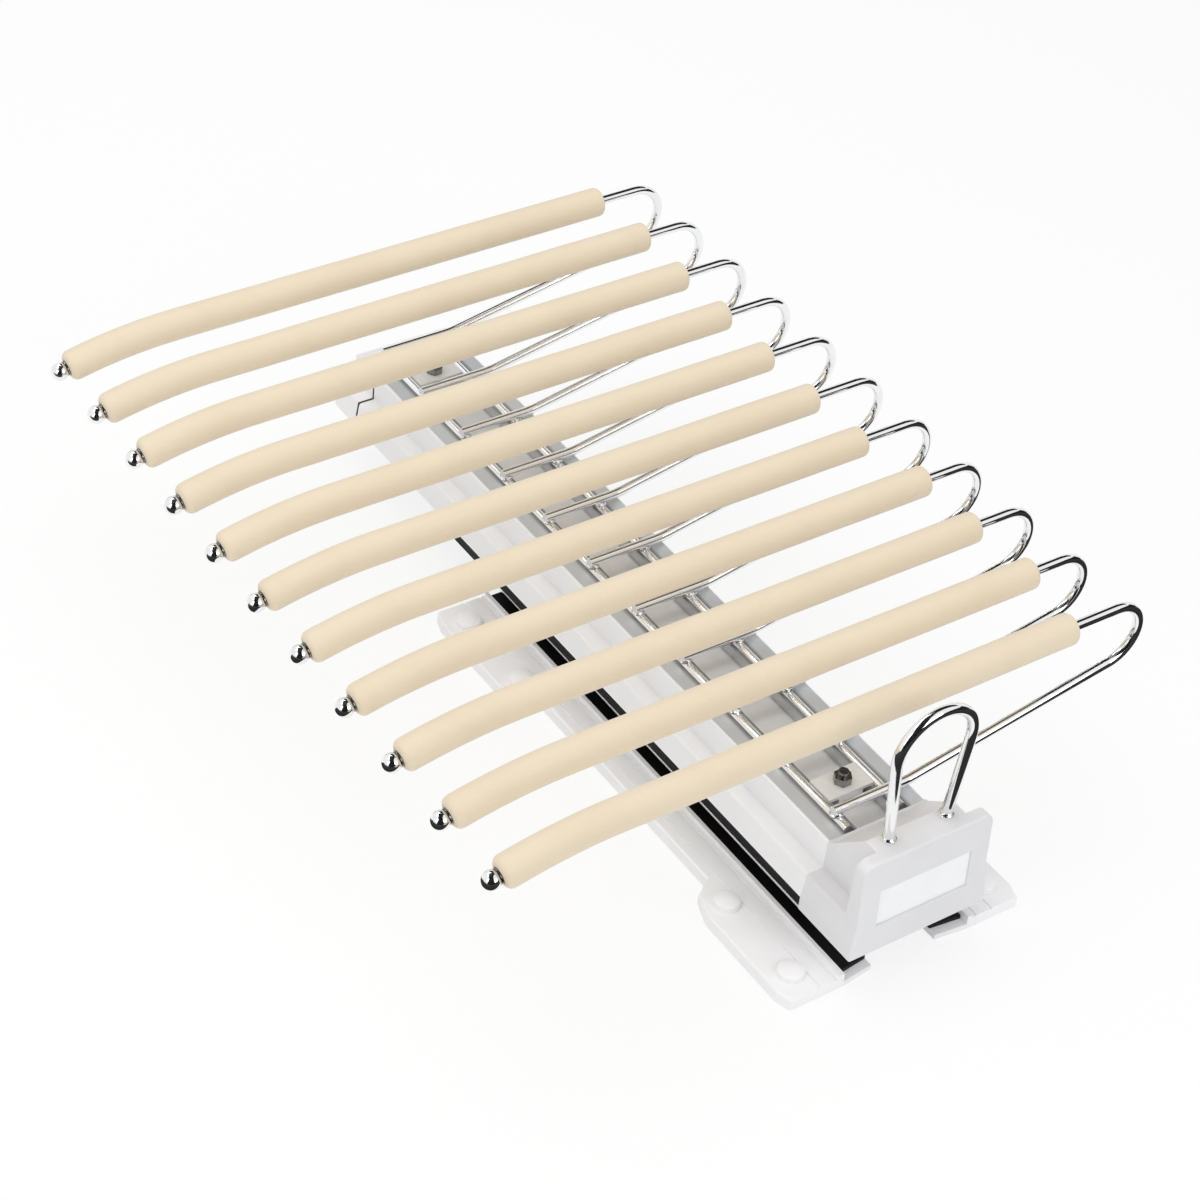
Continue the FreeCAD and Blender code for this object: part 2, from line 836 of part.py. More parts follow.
def arm_tip(y):
    """Ball on an arm's end, with a flat towards the sleeve and a socket for the wire."""
    centre = tip_point(y, 0)
    mouth = tip_point(y, tip_ball_dia)
    ball = Part.makeSphere(tip_ball_dia / 2, centre, mouth.sub(centre))
    ball = ball.cut(bar(tip_ball_dia, tip_point(y, tip_flat_distance), mouth))
    socket_end = tip_ball_dia / 2 - tip_socket_depth - tip_socket_clearance
    return ball.cut(bar(tip_socket_dia, tip_point(y, socket_end), mouth))


def tip_washer(y):
    """Ring on the wire between a ball and its sleeve."""
    ring = bar(tip_washer_dia, tip_point(y, tip_flat_distance), tip_point(y, tip_washer_end))
    return ring.cut(sweep(upper_bar(y, sleeve_right_end, wire_end), arm_wire_dia))


save("base_plate", base_plate())
save_pair("fixed_rail", fixed_rail())
save("fixed_rail_rivets", rivets())
save_pair("ball_retainer", ball_retainer())
save_pair("moving_rail", moving_rail())
save("moving_rail_screws", rail_screws())
save("carriage_profile", carriage_profile())
save("front_cap", front_cap())
save("label_plate", label_panel(label_recess, label_recess + label_thickness))
save("pull_handle", pull_handle())
save("handle_ferrules", ferrules())
save("rear_cap", rear_cap())
save_pair("wire_rod", rod_shapes(rod_y0, rod_y1)[0])
for place, row in zip(("front", "rear"), clamp_rows()):
    save("rod_clamp_" + place, clamp_block(row))
save("clamp_bolts", clamp_bolts())
arm_rows = spread(first_arm_y, last_arm_y, arm_count)
save("tip_washers", Part.makeCompound([tip_washer(row) for row in arm_rows]))
for index, arm_y in enumerate(arm_rows):
    number = "%02d" % (index + 1)
    save("arm_wire_" + number, sweep(arm_path(arm_y), arm_wire_dia))
    save("arm_sleeve_" + number, arm_sleeve(arm_y))
    save("arm_tip_" + number, arm_tip(arm_y))
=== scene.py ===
import json
import math

import bmesh
import bpy
from mathutils import Matrix, Vector, noise


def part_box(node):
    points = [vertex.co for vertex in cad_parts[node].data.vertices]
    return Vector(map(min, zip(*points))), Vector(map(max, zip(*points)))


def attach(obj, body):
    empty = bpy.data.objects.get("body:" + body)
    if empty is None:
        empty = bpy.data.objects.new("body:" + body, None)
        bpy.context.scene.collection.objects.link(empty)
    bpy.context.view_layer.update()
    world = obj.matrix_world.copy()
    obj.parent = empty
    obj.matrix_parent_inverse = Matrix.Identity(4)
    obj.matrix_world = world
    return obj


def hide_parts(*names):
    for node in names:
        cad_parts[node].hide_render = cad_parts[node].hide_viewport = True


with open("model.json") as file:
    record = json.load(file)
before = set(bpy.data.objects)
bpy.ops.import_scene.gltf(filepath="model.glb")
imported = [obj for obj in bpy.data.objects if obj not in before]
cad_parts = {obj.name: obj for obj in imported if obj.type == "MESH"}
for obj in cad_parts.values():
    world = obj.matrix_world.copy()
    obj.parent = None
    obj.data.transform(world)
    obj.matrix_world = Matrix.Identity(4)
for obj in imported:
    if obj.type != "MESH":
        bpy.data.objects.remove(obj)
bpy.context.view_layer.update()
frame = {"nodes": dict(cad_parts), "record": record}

nodes = frame["nodes"]
mm = 0.001


def addNode(tree, kind, inputs=None, **settings):
    node = tree.nodes.new(kind)
    for key, value in settings.items():
        setattr(node, key, value)
    for key, value in (inputs or {}).items():
        node.inputs[key].default_value = value
    return node


def newGroup(name, inputs, outputs):
    group = bpy.data.node_groups.new(name, "ShaderNodeTree")
    for label, value in inputs.items():
        socket = group.interface.new_socket(label, in_out="INPUT", socket_type="NodeSocketFloat")
        socket.default_value = value
    for label in outputs:
        group.interface.new_socket(label, in_out="OUTPUT", socket_type="NodeSocketFloat")
    return group, addNode(group, "NodeGroupInput"), addNode(group, "NodeGroupOutput")


def handlingMarksGroup():  # soft cloudy patches left by hands and cloths
    group, enter, leave = newGroup("handlingMarks", {"Scale": 30.0}, ["Mask"])
    link = group.links.new
    coords = addNode(group, "ShaderNodeTexCoord")
    cloud = addNode(group, "ShaderNodeTexNoise",
                    {"Detail": 4.0, "Roughness": 0.62, "Distortion": 0.6})
    spread = addNode(group, "ShaderNodeMapRange", {"From Min": 0.4, "From Max": 0.68},
                     interpolation_type="SMOOTHSTEP")
    link(coords.outputs["Object"], cloud.inputs["Vector"])
    link(enter.outputs["Scale"], cloud.inputs["Scale"])
    link(cloud.outputs["Fac"], spread.inputs["Value"])
    link(spread.outputs["Result"], leave.inputs["Mask"])
    return group


def drawnLinesGroup():  # fine lines that run along the pull direction
    group, enter, leave = newGroup("drawnLines", {"Across": 900.0, "Along": 6.0}, ["Lines"])
    link = group.links.new
    coords = addNode(group, "ShaderNodeTexCoord")
    stretch = addNode(group, "ShaderNodeCombineXYZ")
    scaled = addNode(group, "ShaderNodeVectorMath", operation="MULTIPLY")
    streak = addNode(group, "ShaderNodeTexNoise", {"Scale": 1.0, "Detail": 3.0, "Roughness": 0.7})
    link(enter.outputs["Across"], stretch.inputs["X"])
    link(enter.outputs["Along"], stretch.inputs["Y"])
    link(enter.outputs["Across"], stretch.inputs["Z"])
    link(coords.outputs["Object"], scaled.inputs[0])
    link(stretch.outputs["Vector"], scaled.inputs[1])
    link(scaled.outputs["Vector"], streak.inputs["Vector"])
    link(streak.outputs["Fac"], leave.inputs["Lines"])
    return group


def mouldGrainGroup():  # the tool's spark texture on moulded plastic
    group, enter, leave = newGroup("mouldGrain", {"Scale": 1400.0}, ["Grain"])
    link = group.links.new
    coords = addNode(group, "ShaderNodeTexCoord")
    fine = addNode(group, "ShaderNodeTexNoise", {"Detail": 2.0, "Roughness": 0.5})
    link(coords.outputs["Object"], fine.inputs["Vector"])
    link(enter.outputs["Scale"], fine.inputs["Scale"])
    link(fine.outputs["Fac"], leave.inputs["Grain"])
    return group


def edgeRubGroup():  # bright on edges that hands and cloths rub
    group, enter, leave = newGroup("edgeRub", {"Width": 0.0008, "Breakup": 160.0}, ["Mask"])
    link = group.links.new
    coords = addNode(group, "ShaderNodeTexCoord")
    shape = addNode(group, "ShaderNodeNewGeometry")
    rounded = addNode(group, "ShaderNodeBevel", samples=4)
    facing = addNode(group, "ShaderNodeVectorMath", operation="DOT_PRODUCT")
    edge = addNode(group, "ShaderNodeMapRange", {"From Min": 0.995, "From Max": 0.88})
    patchy = addNode(group, "ShaderNodeTexNoise", {"Detail": 3.0})
    some = addNode(group, "ShaderNodeMapRange", {"From Min": 0.38, "From Max": 0.62})
    both = addNode(group, "ShaderNodeMath", operation="MULTIPLY")
    link(enter.outputs["Width"], rounded.inputs["Radius"])
    link(rounded.outputs["Normal"], facing.inputs[0])
    link(shape.outputs["Normal"], facing.inputs[1])
    link(facing.outputs["Value"], edge.inputs["Value"])
    link(coords.outputs["Object"], patchy.inputs["Vector"])
    link(enter.outputs["Breakup"], patchy.inputs["Scale"])
    link(patchy.outputs["Fac"], some.inputs["Value"])
    link(edge.outputs["Result"], both.inputs[0])
    link(some.outputs["Result"], both.inputs[1])
    link(both.outputs["Value"], leave.inputs["Mask"])
    return group


def objectAxes(group):
    coords = addNode(group, "ShaderNodeTexCoord")
    split = addNode(group, "ShaderNodeSeparateXYZ")
    group.links.new(coords.outputs["Object"], split.inputs["Vector"])
    return split.outputs


def seamShadowGroup():  # painted shadow: a dark band across the open joint between the profile and its rear cap, where shade falls
    group, enter, leave = newGroup("seamShadow", {"Middle": 0.0, "Half": 0.0}, ["Mask"])
    link = group.links.new
    axes = objectAxes(group)
    inside = addNode(group, "ShaderNodeMath", operation="COMPARE")
    link(axes["Y"], inside.inputs[0])
    link(enter.outputs["Middle"], inside.inputs[1])
    link(enter.outputs["Half"], inside.inputs[2])
    link(inside.outputs["Value"], leave.inputs["Mask"])
    return group


def rodShadowGroup():  # painted shade: darkens the carriage's top beside the two wire rods, where the rods shade it
    group, enter, leave = newGroup("rodShadow", {"Rod": 0.0, "Near": 0.0, "Far": 0.0, "Above": 0.0},
                                   ["Mask"])
    link = group.links.new
    axes = objectAxes(group)
    aside = addNode(group, "ShaderNodeMath", operation="ABSOLUTE")
    offset = addNode(group, "ShaderNodeMath", operation="SUBTRACT")
    distance = addNode(group, "ShaderNodeMath", operation="ABSOLUTE")
    fade = addNode(group, "ShaderNodeMapRange", interpolation_type="SMOOTHSTEP")
    top = addNode(group, "ShaderNodeMath", operation="GREATER_THAN")
    both = addNode(group, "ShaderNodeMath", operation="MULTIPLY")
    link(axes["X"], aside.inputs[0])
    link(aside.outputs["Value"], offset.inputs[0])
    link(enter.outputs["Rod"], offset.inputs[1])
    link(offset.outputs["Value"], distance.inputs[0])
    link(distance.outputs["Value"], fade.inputs["Value"])
    link(enter.outputs["Far"], fade.inputs["From Min"])
    link(enter.outputs["Near"], fade.inputs["From Max"])
    link(axes["Z"], top.inputs[0])
    link(enter.outputs["Above"], top.inputs[1])
    link(fade.outputs["Result"], both.inputs[0])
    link(top.outputs["Value"], both.inputs[1])
    link(both.outputs["Value"], leave.inputs["Mask"])
    return group


def bareDeckGroup():  # bare metal between the carriage's white sides, and its flat top alone
    group, enter, leave = newGroup("bareDeck", {"Half": 0.0, "Above": 0.0}, ["Deck", "Top"])
    link = group.links.new
    axes = objectAxes(group)
    aside = addNode(group, "ShaderNodeMath", operation="ABSOLUTE")
    within = addNode(group, "ShaderNodeMath", operation="LESS_THAN")
    above = addNode(group, "ShaderNodeMath", operation="GREATER_THAN")
    both = addNode(group, "ShaderNodeMath", operation="MULTIPLY")
    link(axes["X"], aside.inputs[0])
    link(aside.outputs["Value"], within.inputs[0])
    link(enter.outputs["Half"], within.inputs[1])
    link(axes["Z"], above.inputs[0])
    link(enter.outputs["Above"], above.inputs[1])
    link(within.outputs["Value"], both.inputs[0])
    link(above.outputs["Value"], both.inputs[1])
    link(within.outputs["Value"], leave.inputs["Deck"])
    link(both.outputs["Value"], leave.inputs["Top"])
    return group


groups = {
    "marks": handlingMarksGroup(),
    "lines": drawnLinesGroup(),
    "grain": mouldGrainGroup(),
    "rub": edgeRubGroup(),
    "dirt": seamShadowGroup(),
    "rodShade": rodShadowGroup(),
    "deck": bareDeckGroup(),
}
print("shared finishes:", ", ".join(groups))


def newMaterial(name, **sockets):
    material = bpy.data.materials.new(name)
    material.use_nodes = True
    tree = material.node_tree
    shader = tree.nodes["Principled BSDF"]
    for key, value in sockets.items():
        shader.inputs[key.replace("_", " ")].default_value = value
    return material, tree, shader


def placeGroup(tree, key, **values):
    node = addNode(tree, "ShaderNodeGroup", node_tree=groups[key])
    for label, value in values.items():
        node.inputs[label].default_value = value
    return node


def blendColours(tree, mask, first, second):  # mask 0 gives the first colour, 1 the second
    mix = addNode(tree, "ShaderNodeMix", data_type="RGBA")
    mix.inputs["A"].default_value = (*first, 1)
    mix.inputs["B"].default_value = (*second, 1)
    tree.links.new(mask, mix.inputs["Factor"])
    return mix.outputs["Result"]


def overlayColour(tree, mask, under, colour, blend="MIX"):  # one more colour over one already made
    mix = addNode(tree, "ShaderNodeMix", data_type="RGBA", blend_type=blend)
    mix.inputs["B"].default_value = (*colour, 1)
    tree.links.new(mask, mix.inputs["Factor"])
    tree.links.new(under, mix.inputs["A"])
    return mix.outputs["Result"]


def remap(tree, value, low, high):
    node = addNode(tree, "ShaderNodeMapRange", {"To Min": low, "To Max": high})
    tree.links.new(value, node.inputs["Value"])
    return node.outputs["Result"]


bumpDepth = {"grain": 0.0001, "lines": 0.00005, "foam": 0.0003}  # metres


def addBump(tree, shader, height, strength, distance):
    bump = addNode(tree, "ShaderNodeBump", {"Strength": strength, "Distance": distance})
    tree.links.new(height, bump.inputs["Height"])
    tree.links.new(bump.outputs["Normal"], shader.inputs["Normal"])


def mouldedPlastic(name, look):
    material, tree, shader = newMaterial(name, Specular_IOR_Level=look["specular"])
    marks = placeGroup(tree, "marks", Scale=look["cloud"]).outputs["Mask"]
    rub = placeGroup(tree, "rub", Width=look["edge"]).outputs["Mask"]
    grain = placeGroup(tree, "grain", Scale=look["grain"]).outputs["Grain"]
    body = blendColours(tree, marks, look["colour"], look["shade"])
    body = overlayColour(tree, rub, body, look["rubbed"])
    # painted shadow in the rear cap's joint
    if "seam" in look:
        middle, half = look["seam"]
        dirt = placeGroup(tree, "dirt", Middle=middle, Half=half).outputs["Mask"]
        body = overlayColour(tree, dirt, body, look["dirt"])
    tree.links.new(body, shader.inputs["Base Color"])
    tree.links.new(remap(tree, marks, *look["gloss"]), shader.inputs["Roughness"])
    addBump(tree, shader, grain, look["relief"], bumpDepth["grain"])
    return material


def drawnMetal(name, look):
    material, tree, shader = newMaterial(name, Metallic=look["metal"],
                                         Specular_IOR_Level=look["specular"])
    lines = placeGroup(tree, "lines", Across=look["across"], Along=look["along"]).outputs["Lines"]
    rub = placeGroup(tree, "rub", Width=look["edge"]).outputs["Mask"]
    body = blendColours(tree, lines, look["shade"], look["colour"])
    body = overlayColour(tree, rub, body, look["rubbed"])
    if "deck" in look:
        half, above = look["deck"]
        deck = placeGroup(tree, "deck", Half=half, Above=above).outputs
        # the flat top darkened and cooled: partly the bare metal's own tone, partly painted shade
        # for the dimmer light on upward faces, with the cool cast offsetting the sleeves' warm
        # reflection
        body = overlayColour(tree, deck["Top"], body, look["topToneAndShade"], "MULTIPLY")
        metal = remap(tree, deck["Deck"], look["metal"], look["deckMetal"])
        tree.links.new(metal, shader.inputs["Metallic"])
    # painted shade along both sides of each rod, darkest next to it
    if "rodShade" in look:
        rod, near, far, above = look["beside"]
        rodShade = placeGroup(tree, "rodShade", Rod=rod, Near=near, Far=far, Above=above).outputs["Mask"]
        body = overlayColour(tree, rodShade, body, look["rodShade"])
    tree.links.new(body, shader.inputs["Base Color"])
    tree.links.new(remap(tree, lines, *look["gloss"]), shader.inputs["Roughness"])
    addBump(tree, shader, lines, look["relief"], bumpDepth["lines"])
    return material


def platedMetal(name, look):
    material, tree, shader = newMaterial(name, Metallic=look["metal"])
    marks = placeGroup(tree, "marks", Scale=look["cloud"]).outputs["Mask"]
    body = blendColours(tree, marks, look["colour"], look["shade"])
    tree.links.new(body, shader.inputs["Base Color"])
    tree.links.new(remap(tree, marks, *look["gloss"]), shader.inputs["Roughness"])
    if "relief" in look:
        grain = placeGroup(tree, "grain", Scale=look["grain"]).outputs["Grain"]
        addBump(tree, shader, grain, look["relief"], bumpDepth["grain"])
    return material


whitePlastic = mouldedPlastic("whitePlastic", {
    "colour": (0.77, 0.771, 0.79), "shade": (0.745, 0.747, 0.766), "rubbed": (0.82, 0.82, 0.835),
    "gloss": (0.36, 0.48), "specular": 0.4, "cloud": 22.0, "grain": 1500.0, "relief": 0.12,
    "edge": 0.0007,
})
lightenedBasePlastic = mouldedPlastic("lightenedBasePlastic", {  # base, screw covers and rear cap: the caps' white plastic painted lighter, a painted fill that lifts the shade the sleeves cast on the base; it also carries the rear joint's painted shadow
    "colour": (0.94, 0.942, 0.96), "shade": (0.92, 0.922, 0.942), "rubbed": (0.955, 0.957, 0.97),
    "gloss": (0.36, 0.48), "specular": 0.4, "cloud": 22.0, "grain": 1500.0, "relief": 0.12,
    "edge": 0.0007, "seam": (0.2847, 0.00072), "dirt": (0.07, 0.07, 0.07),
})
labelPlastic = mouldedPlastic("labelPlastic", {
    "colour": (0.91, 0.93, 0.95), "shade": (0.895, 0.916, 0.936), "rubbed": (0.93, 0.945, 0.955),
    "gloss": (0.38, 0.44), "specular": 0.4, "cloud": 40.0, "grain": 900.0, "relief": 0.05,
    "edge": 0.0004,
})
carriagePaint = drawnMetal("carriagePaint", {
    "colour": (0.93, 0.935, 0.955), "shade": (0.875, 0.88, 0.9), "rubbed": (0.94, 0.945, 0.96),
    "metal": 0.0, "specular": 0.5, "gloss": (0.32, 0.44), "across": 700.0, "along": 4.0,
    "relief": 0.16, "edge": 0.0004,
    "rodShade": (0.26, 0.26, 0.26), "beside": (0.0155, 0.0026, 0.0058, 0.0515),
    "deck": (0.0274, 0.0575), "deckMetal": 0.5, "topToneAndShade": (0.81, 0.845, 0.875),
})
slideSteel = drawnMetal("slideSteel", {  # near-black: dark-coated slides, made darker still as painted shade of the deep slot they run in
    "colour": (0.014, 0.014, 0.015), "shade": (0.009, 0.009, 0.01), "rubbed": (0.05, 0.05, 0.05),
    "metal": 0.0, "specular": 0.12, "gloss": (0.46, 0.6), "across": 1600.0, "along": 9.0,
    "relief": 0.2, "edge": 0.0005,
})
retainerSteel = drawnMetal("retainerSteel", {
    "colour": (0.76, 0.75, 0.72), "shade": (0.66, 0.65, 0.62), "rubbed": (0.82, 0.81, 0.79),
    "metal": 1.0, "specular": 0.5, "gloss": (0.2, 0.34), "across": 2200.0, "along": 20.0,
    "relief": 0.12, "edge": 0.0003,
})
rodWire = platedMetal("rodWire", {  # the two long rods, with a softer shine than the arms
    "colour": (0.95, 0.955, 0.96), "shade": (0.92, 0.925, 0.93),
    "metal": 1.0, "gloss": (0.2, 0.26), "cloud": 60.0,
})
chromeWire = platedMetal("chromeWire", {
    "colour": (0.90, 0.905, 0.91), "shade": (0.86, 0.865, 0.875),
    "metal": 1.0, "gloss": (0.03, 0.09), "cloud": 60.0,
})
clampSteel = platedMetal("clampSteel", {
    "colour": (0.90, 0.90, 0.885), "shade": (0.84, 0.84, 0.825),
    "metal": 0.25, "gloss": (0.3, 0.42), "cloud": 120.0, "relief": 0.1, "grain": 1800.0,
})
darkSteel = platedMetal("darkSteel", {
    "colour": (0.27, 0.265, 0.255), "shade": (0.2, 0.195, 0.19),
    "metal": 1.0, "gloss": (0.18, 0.3), "cloud": 300.0, "relief": 0.1, "grain": 1600.0,
})


def foamMaterial(look):
    material, tree, shader = newMaterial("sleeveFoam", Sheen_Weight=look["sheen"],
                                         Sheen_Roughness=look["sheenSpread"],
                                         Specular_IOR_Level=look["specular"])
    link = tree.links.new
    coords = addNode(tree, "ShaderNodeTexCoord")
    cells = addNode(tree, "ShaderNodeTexVoronoi", {"Scale": look["cells"]}, feature="SMOOTH_F1")
    pits = addNode(tree, "ShaderNodeTexNoise",
                   {"Scale": look["pits"], "Detail": 3.0, "Roughness": 0.65})
    skin = addNode(tree, "ShaderNodeMath", operation="ADD")
    marks = placeGroup(tree, "marks", Scale=look["cloud"]).outputs["Mask"]
    link(coords.outputs["Object"], cells.inputs["Vector"])
    link(coords.outputs["Object"], pits.inputs["Vector"])
    link(cells.outputs["Distance"], skin.inputs[0])
    link(pits.outputs["Fac"], skin.inputs[1])
    pores = addNode(tree, "ShaderNodeMapRange", {"From Min": 0.62, "From Max": 0.8, "To Max": 0.35})
    link(pits.outputs["Fac"], pores.inputs["Value"])
    body = blendColours(tree, marks, look["colour"], look["shade"])
    body = overlayColour(tree, pores.outputs["Result"], body, look["pore"])
    link(body, shader.inputs["Base Color"])
    link(remap(tree, marks, *look["gloss"]), shader.inputs["Roughness"])
    addBump(tree, shader, skin.outputs["Value"], look["relief"], bumpDepth["foam"])
    return material


sleeveFoam = foamMaterial({
    "colour": (0.78, 0.67, 0.503), "shade": (0.763, 0.65, 0.485), "pore": (0.68, 0.56, 0.405),
    "sheen": 0.35, "sheenSpread": 0.5, "specular": 0.25, "gloss": (0.78, 0.9),
    "cells": 900.0, "pits": 700.0, "cloud": 26.0, "relief": 0.25,
})

finishes = {  # record slot to material
    "white_plastic": whitePlastic, "label_plastic": labelPlastic, "carriage_paint": carriagePaint,
    "slide_steel": slideSteel, "retainer_steel": retainerSteel, "chrome_wire": chromeWire,
    "clamp_steel": clampSteel, "dark_steel": darkSteel, "sleeve_foam": sleeveFoam,
}
ownFinish = {  # nodes that differ from their slot
    "base_plate": lightenedBasePlastic, "rear_cap": lightenedBasePlastic,
    "wire_rod_left": rodWire, "wire_rod_right": rodWire,
}
slotOf = {part["node"]: part["material_slot"] for part in frame["record"]["subparts"]}
for node, slotName in slotOf.items():
    for slot in nodes[node].material_slots:
        slot.material = ownFinish.get(node, finishes[slotName])
print("finishes:", len(finishes))


def meshObject(bm, name, material):
    mesh = bpy.data.meshes.new(name)
    bm.to_mesh(mesh)
    bm.free()
    mesh.materials.append(material)
    made = bpy.data.objects.new(name, mesh)
    bpy.context.scene.collection.objects.link(made)
    return made


def finishPiece(bm, name, material, body):
    bmesh.ops.scale(bm, vec=(mm, mm, mm), verts=bm.verts)
    bmesh.ops.recalc_face_normals(bm, faces=bm.faces)
    for face in bm.faces:
        face.smooth = True
    piece = meshObject(bm, name, material)
    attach(piece, body)
    return piece


def roundEdges(bm, edges, offset, steps):
    bmesh.ops.bevel(bm, geom=edges, offset=offset, segments=steps, profile=0.5, affect="EDGES",
                    material=-1)


def smoothOver(piece, levels):
    rounder = piece.modifiers.new("smoothOver", "SUBSURF")
    rounder.levels = levels
    rounder.render_levels = levels


sleeve = {  # foam tubes on the upper bars, millimetres
    "radius": 8.0, "bore": 2.7, "boreDepth": 5.0, "leftRim": 3.4, "rightRim": 1.7,
    "leftEnd": -202.2,
    "rightEnds": (111, 121, 119, 120, 112, 112, 113, 115, 116, 119, 116),  # pushed on by hand
    "barHeight": 120.7, "droopFrom": -143.0, "droopRadius": 246.1,
    "sides": 32, "rings": 70, "rimSteps": 5, "outside": 0.98, "ringWidth": 1.0,
    "unevenness": 0.016, "lumpLength": 34.0, "lumpWidth": 9.0, "lumpShift": 7.3, "smoothing": 1,
}


def middleOf(node):  # in millimetres
    low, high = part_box(node)
    return (low + high) / 2 / mm


def barLine(x):  # height and slope of the upper bar's centre line
    reach = max(0.0, sleeve["droopFrom"] - x)
    run = math.sqrt(sleeve["droopRadius"] ** 2 - reach ** 2)
    return sleeve["barHeight"] - sleeve["droopRadius"] + run, reach / run


def foamSleeve(number, rightEnd):
    node = f"arm_sleeve_{number:02d}"
    middleY = middleOf(node).y
    radius = sleeve["radius"]
    half = (rightEnd - sleeve["leftEnd"]) / 2
    middleX = (rightEnd + sleeve["leftEnd"]) / 2
    bm = bmesh.new()
    bmesh.ops.create_cone(bm, cap_ends=True, segments=sleeve["sides"], radius1=radius,
                          radius2=radius, depth=2 * half,
                          matrix=Matrix.Rotation(math.radians(90), 4, "Y"))
    ends = [face for face in bm.faces if len(face.verts) == sleeve["sides"]]
    bmesh.ops.inset_region(bm, faces=ends, thickness=radius - sleeve["bore"], use_even_offset=True)
    bores = bmesh.ops.extrude_discrete_faces(bm, faces=ends)["faces"]
    for face in bores:
        inward = -math.copysign(sleeve["boreDepth"], face.calc_center_median().x)
        bmesh.ops.translate(bm, vec=(inward, 0, 0), verts=face.verts)
    outside = sleeve["outside"] * radius
    rims = [edge for edge in bm.edges if all(v.co.yz.length > outside for v in edge.verts)
            and abs(edge.verts[0].co.x - edge.verts[1].co.x) < sleeve["ringWidth"]]
    for side, offset in ((-1, sleeve["leftRim"]), (1, sleeve["rightRim"])):
        ring = [edge for edge in rims if edge.is_valid and edge.verts[0].co.x * side > 0]
        roundEdges(bm, ring, offset, sleeve["rimSteps"])
    sides = [edge for edge in bm.edges if abs(edge.verts[0].co.x - edge.verts[1].co.x) > half]
    bmesh.ops.subdivide_edges(bm, edges=sides, cuts=sleeve["rings"], use_grid_fill=True)
    for v in bm.verts:
        x = v.co.x + middleX
        spot = Vector((x / sleeve["lumpLength"],
                       v.co.y / sleeve["lumpWidth"] + sleeve["lumpShift"] * number,
                       v.co.z / sleeve["lumpWidth"]))
        size = 1 + sleeve["unevenness"] * noise.noise(spot)
        height, slope = barLine(x)
        lean = math.atan(slope)
        v.co = (x - math.sin(lean) * v.co.z * size, middleY + v.co.y * size,
                height + math.cos(lean) * v.co.z * size)
    piece = finishPiece(bm, f"foamSleeve{number:02d}", sleeveFoam, "carriage")
    smoothOver(piece, sleeve["smoothing"])
    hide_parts(node)


for index, rightEnd in enumerate(sleeve["rightEnds"]):
    foamSleeve(index + 1, rightEnd)
print("foam sleeves:", len(sleeve["rightEnds"]))

ballTip = {  # pushed on the end of each bar
    "radius": 4.7, "reach": -206.0, "flat": 3.2, "bore": 2.65, "socket": 2.8, "lip": 0.15,
    "sides": 48, "rings": 32, "lipSteps": 3,
}


def roundTip(number):
    node = f"arm_tip_{number:02d}"
    bm = bmesh.new()
    bmesh.ops.create_uvsphere(bm, u_segments=ballTip["sides"], v_segments=ballTip["rings"],
                              radius=ballTip["radius"])
    cut = bmesh.ops.bisect_plane(bm, geom=bm.verts[:] + bm.edges[:] + bm.faces[:],
                                 plane_co=(0, 0, ballTip["flat"]), plane_no=(0, 0, 1),
                                 clear_outer=True)
    lip = [item for item in cut["geom_cut"] if isinstance(item, bmesh.types.BMEdge)]
    mouth = bmesh.ops.contextual_create(bm, geom=lip)["faces"]
    flatRadius = math.sqrt(ballTip["radius"] ** 2 - ballTip["flat"] ** 2)
    bmesh.ops.inset_region(bm, faces=mouth, thickness=flatRadius - ballTip["bore"],
                           use_even_offset=True)
    bottom = bmesh.ops.extrude_discrete_faces(bm, faces=mouth)["faces"]
    bmesh.ops.translate(bm, vec=(0, 0, -ballTip["socket"]), verts=bottom[0].verts)
    roundEdges(bm, lip, ballTip["lip"], ballTip["lipSteps"])
    height, slope = barLine(ballTip["reach"])
    lean = math.radians(90) - math.atan(slope)
    bmesh.ops.rotate(bm, cent=(0, 0, 0), matrix=Matrix.Rotation(lean, 3, "Y"), verts=bm.verts)
    bmesh.ops.translate(bm, vec=(ballTip["reach"], middleOf(node).y, height), verts=bm.verts)
    piece = finishPiece(bm, f"ballTip{number:02d}", chromeWire, "carriage")
    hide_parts(node)


for index in range(len(sleeve["rightEnds"])):
    roundTip(index + 1)
print("ball tips:", len(sleeve["rightEnds"]))

screwCover = {  # push-on buttons over the mounting screws
    "x": 57.0, "rows": (-138.0, -88.0, 88.0, 138.0), "seat": 8.3,
    "radius": 6.3, "wall": 0.5, "crown": 1.1,
    "sides": 48, "steps": 8, "rim": 0.22, "rimSteps": 3, "merge": 0.001, "near": 0.01,
}


